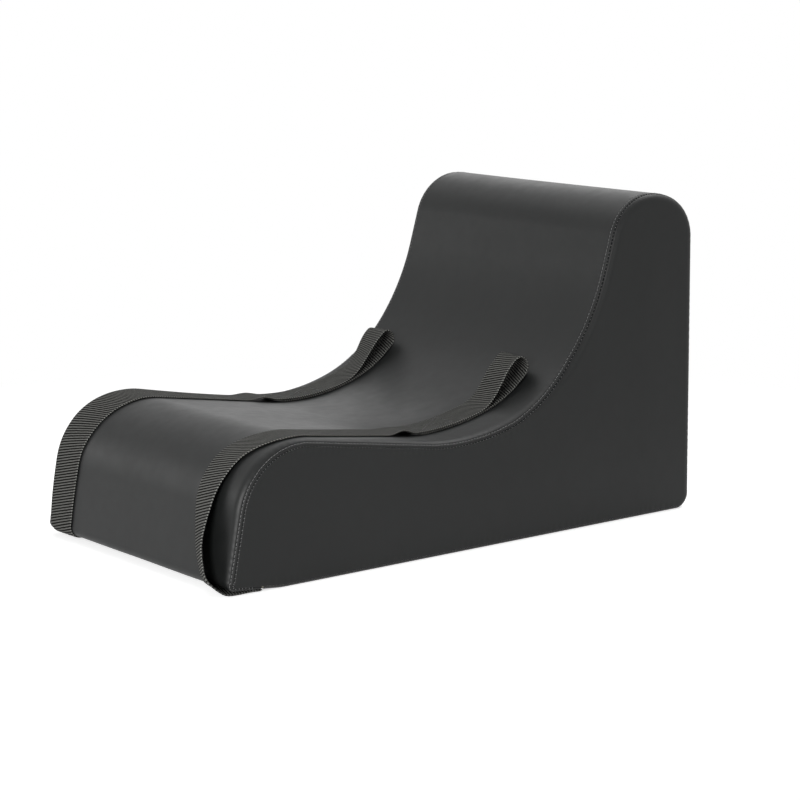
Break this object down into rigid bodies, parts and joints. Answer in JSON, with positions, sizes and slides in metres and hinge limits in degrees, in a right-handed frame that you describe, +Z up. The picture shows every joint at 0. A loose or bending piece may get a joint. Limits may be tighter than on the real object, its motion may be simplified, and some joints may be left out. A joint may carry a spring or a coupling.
{
  "type": "pilates spine corrector",
  "caption": "Padded floor wedge for back stretching: rounded nose, dipped seat, tall rounded back, zipped vinyl cover, and webbing straps that end in hand loops.",
  "frame": {"origin": "centre of the flat base, on the floor: midway along the padded body's length and width, straps not counted", "axes": "+X towards the tall back end, +Y towards the right-hand side of a person lying with the head at the back, +Z up"},
  "size_m": [0.8594, 0.45, 0.4698],
  "materials": {
    "cover_vinyl": "smooth satin coated vinyl",
    "base_fabric": "matt woven",
    "foam": "matt open-cell foam",
    "webbing": "twill-woven webbing",
    "zip_tape": "woven tape with moulded teeth",
    "zip_metal": "dark enamelled"
  },
  "bodies": {
    "body": {"foam_core": "foam", "cover_top_panel": "cover_vinyl", "cover_side_left": "cover_vinyl", "cover_side_right": "cover_vinyl", "cover_base_panel": "base_fabric", "zip_half_upper": "zip_tape", "zip_half_lower": "zip_tape", "zip_bottom_stop": "zip_metal", "strap_left": "webbing", "strap_end_left": "webbing", "strap_right": "webbing", "strap_end_right": "webbing"},
    "hand_loop_left": {"hand_loop_left": "webbing"},
    "hand_loop_right": {"hand_loop_right": "webbing"},
    "zip_slider": {"zip_slider": "zip_metal"},
    "zip_pull": {"zip_pull": "zip_metal"}
  },
  "joints": [
    {"name": "hand_loop_left_lift", "type": "hinge", "parent": "body", "child": "hand_loop_left", "pos_m": [0.02102, -0.138, 0.1695], "axis": [0, -1, 0], "range_deg": [0, 130]},
    {"name": "hand_loop_right_lift", "type": "hinge", "parent": "body", "child": "hand_loop_right", "pos_m": [0.02102, 0.171, 0.1695], "axis": [0, -1, 0], "range_deg": [0, 130]},
    {"name": "zip_slide", "type": "slide", "parent": "body", "child": "zip_slider", "axis": [0, 1, 0], "range_m": [0, 0.3884], "deforming": ["zip_half_upper", "zip_half_lower"]},
    {"name": "zip_pull_swing", "type": "hinge", "parent": "zip_slider", "child": "zip_pull", "pos_m": [0.41662, -0.191, 0.05202], "axis": [0.0122, 0, -0.9999], "range_deg": [0, 180]}
  ]
}
